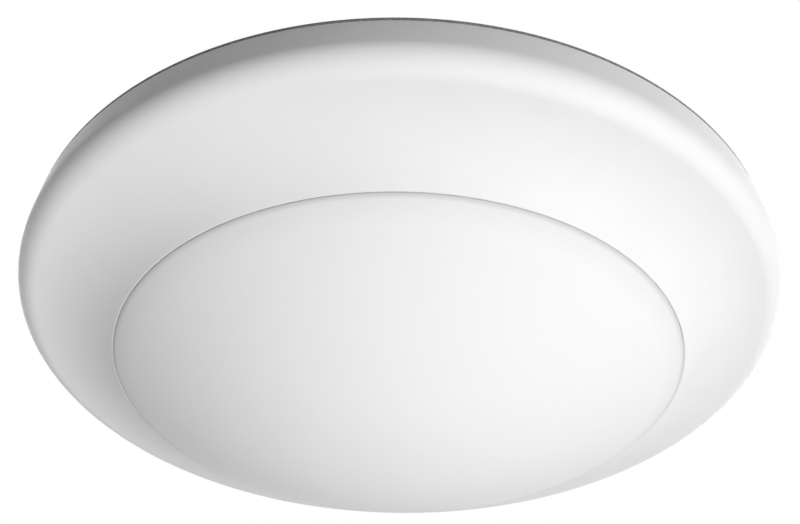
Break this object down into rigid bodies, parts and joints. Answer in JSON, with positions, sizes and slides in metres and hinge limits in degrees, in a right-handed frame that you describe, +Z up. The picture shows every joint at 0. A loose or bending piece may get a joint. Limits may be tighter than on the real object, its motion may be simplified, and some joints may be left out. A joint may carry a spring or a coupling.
{
  "type": "disk light",
  "caption": "Round surface ceiling light: coved white trim, domed opal lens and LED engine on a back pan that twist-locks onto a junction-box bracket.",
  "frame": {"origin": "centre of the bracket's box side, on the light's axis in the ceiling plane", "axes": "+Z up into the junction box, so the lens faces -Z; X through the box's two screws"},
  "size_m": [0.1906, 0.1906, 0.0622],
  "materials": {
    "trim_paint": "satin white powder coat",
    "opal": "opal, lightly frosted",
    "silicone": "matt",
    "reflector_white": "matt white",
    "pan_aluminium": "pressed, satin",
    "foam": "closed-cell foam",
    "zinc_steel": "zinc-plated",
    "stud_steel": "turned, zinc-plated",
    "ground_green": "green dyed zinc",
    "board_white": "white solder mask on aluminium",
    "phosphor": "yellow phosphor in white packages",
    "thermal_grey": "soft pad",
    "screw_steel": "zinc-plated",
    "can_steel": "drawn, galvanised",
    "black_rubber": "matt",
    "liner_film": "thin insulating film",
    "board_green": "green solder mask",
    "spacer_brass": "turned",
    "bush_plastic": "moulded",
    "lead_red": "insulation",
    "lead_black": "insulation",
    "ferrite": "ferrite, taped winding",
    "capacitor_sleeve": "shrink sleeve",
    "film_yellow": "moulded box",
    "black_epoxy": "moulded epoxy",
    "choke_ferrite": "ferrite drum",
    "fuse_brown": "moulded"
  },
  "bodies": {
    "ceiling_mount": {"mounting_bracket": "zinc_steel", "lock_studs": "stud_steel", "ground_screw": "ground_green"},
    "light_head": {"trim_ring": "trim_paint", "diffuser_lens": "opal", "lens_gasket": "silicone", "reflector_ring": "reflector_white", "back_pan": "pan_aluminium", "rear_gasket": "foam", "led_board": "board_white", "led_chips": "phosphor", "thermal_pad": "thermal_grey", "trim_screws": "screw_steel", "board_screws": "screw_steel", "can_screws": "screw_steel", "driver_can": "can_steel", "wire_grommet": "black_rubber", "driver_liner": "liner_film", "driver_board": "board_green", "board_spacers": "spacer_brass", "driver_screws": "screw_steel", "lead_bush": "bush_plastic", "positive_lead": "lead_red", "negative_lead": "lead_black", "transformer": "ferrite", "smoothing_capacitor": "capacitor_sleeve", "film_capacitor": "film_yellow", "bridge_rectifier": "black_epoxy", "control_chip": "black_epoxy", "filter_choke": "choke_ferrite", "mains_fuse": "fuse_brown"}
  },
  "joints": [
    {"name": "twist_lock", "type": "hinge", "parent": "ceiling_mount", "child": "light_head", "pos_m": [0, 0, 0], "axis": [0, 0, -1], "range_deg": [0, 20]}
  ]
}
